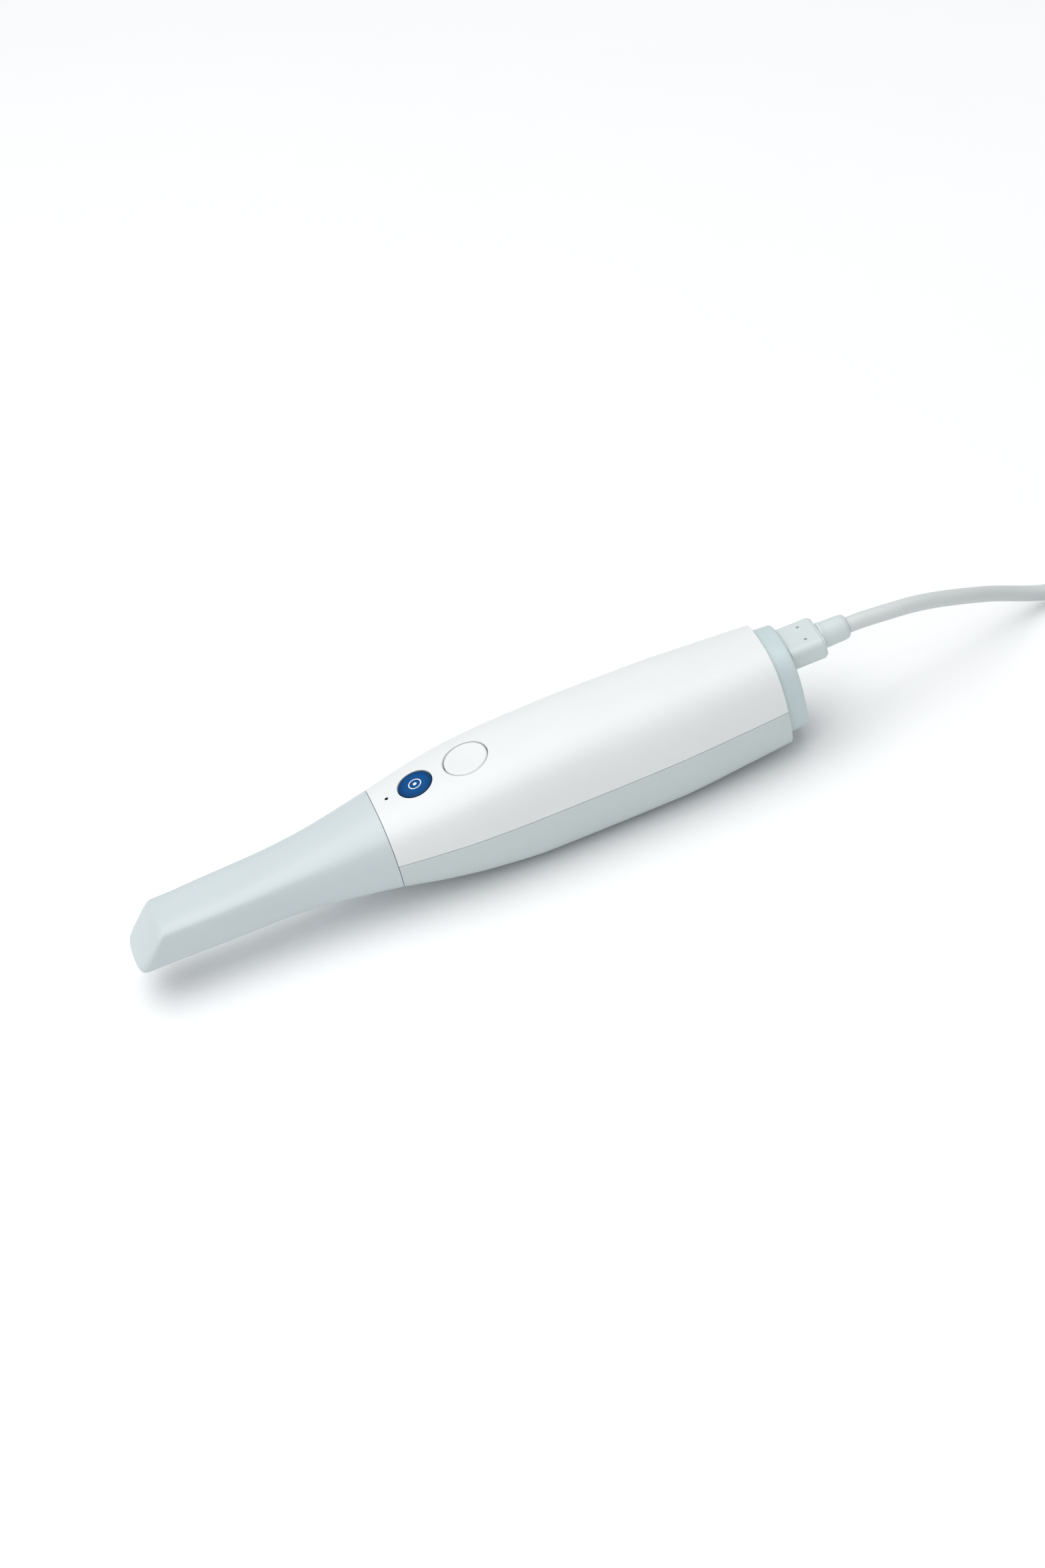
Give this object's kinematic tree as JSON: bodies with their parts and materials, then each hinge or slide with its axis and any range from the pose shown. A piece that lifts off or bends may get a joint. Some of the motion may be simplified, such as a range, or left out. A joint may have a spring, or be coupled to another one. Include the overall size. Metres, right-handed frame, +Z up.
{
  "type": "intraoral camera",
  "caption": "Hand-held dental scanner: slide-off mirror tip, two-part grip with a round scan button and a mode button, rear ring and a detachable coiled data cable.",
  "frame": {"origin": "centre of the handpiece's footprint, on the surface its belly rests on; the cable is left out of the box", "axes": "+X along the handpiece from the mirror tip to the cable, +Z up through the buttons, +Y across"},
  "size_m": [0.5175, 0.0641, 0.0466],
  "materials": {
    "white_plastic": "satin gloss white",
    "lower_plastic": "satin pale grey",
    "tip_plastic": "satin pale blue-grey",
    "ring_plastic": "satin blue-grey",
    "blue_plastic": "satin blue",
    "symbol_plastic": "satin white inlay",
    "mirror": "polished first-surface mirror",
    "glass": "polished, coated",
    "black_plastic": "fine matt",
    "black_metal": "black anodised",
    "aluminium": "milled",
    "steel": "nickel plated",
    "copper": "bare",
    "circuit_board": "solder mask",
    "chip": "moulded",
    "pad": "soft",
    "light": "diffusing",
    "rubber": "soft matt",
    "dark_plastic": "fine matt",
    "plug_plastic": "fine matt",
    "cable_jacket": "satin, flexible",
    "tie_fabric": "woven hook and loop"
  },
  "bodies": {
    "handpiece": {"nose_barrel": "black_plastic", "nose_window": "glass", "window_heater": "copper", "nose_seal": "rubber", "relay_tube": "black_metal", "relay_lens_front": "glass", "relay_lens_rear": "glass", "optics_chassis": "aluminium", "beam_splitter": "glass", "camera_lens_barrel": "black_metal", "camera_lens": "glass", "image_sensor": "chip", "sensor_board": "circuit_board", "projector_barrel": "black_metal", "projector_lens": "glass", "pattern_chip": "chip", "led_board": "circuit_board", "inner_frame": "black_plastic", "heat_sink": "aluminium", "thermal_pad": "pad", "main_board": "circuit_board", "board_chips": "chip", "board_screws": "steel", "button_board": "circuit_board", "tact_switches": "chip", "status_led": "light", "light_pipe": "light", "fan_frame": "black_plastic", "fan_shaft": "steel", "connector_board": "circuit_board", "connector_socket": "dark_plastic", "socket_tongue": "copper", "rear_plate": "ring_plastic", "rear_screws": "steel", "rear_ring": "ring_plastic", "lower_shell": "lower_plastic", "upper_shell": "white_plastic"},
    "tip": {"tip_shell": "tip_plastic", "tip_mirror": "mirror", "window_bezel": "tip_plastic"},
    "scan_button": {"scan_button": "white_plastic"},
    "mode_button": {"mode_button": "blue_plastic", "mode_symbol": "symbol_plastic"},
    "fan_rotor": {"fan_rotor": "black_plastic"},
    "cable": {"cable_plug": "plug_plastic", "plug_shell": "steel", "cable_neck": "plug_plastic", "cable_cord": "cable_jacket", "cable_coil": "cable_jacket", "coil_tie": "tie_fabric", "far_neck": "dark_plastic", "far_plug": "dark_plastic", "far_plug_shell": "steel"}
  },
  "joints": [
    {"name": "tip_slide", "type": "slide", "parent": "handpiece", "child": "tip", "axis": [-1, 0, 0], "range_m": [0, 0.05]},
    {"name": "scan_button_press", "type": "slide", "parent": "handpiece", "child": "scan_button", "axis": [0.102, 0, -0.9948], "range_m": [0, 0.0008], "stiffness_N_per_m": 1500, "springref_m": -0.0004},
    {"name": "mode_button_press", "type": "slide", "parent": "handpiece", "child": "mode_button", "axis": [0.1405, 0, -0.9901], "range_m": [0, 0.0005], "stiffness_N_per_m": 1500, "springref_m": -0.0004},
    {"name": "fan_spin", "type": "hinge", "parent": "handpiece", "child": "fan_rotor", "pos_m": [0.1055, 0, 0.0198], "axis": [1, 0, 0], "continuous": true},
    {"name": "cable_plug_pull", "type": "slide", "parent": "handpiece", "child": "cable", "axis": [1, 0, 0], "range_m": [0, 0.012]}
  ]
}
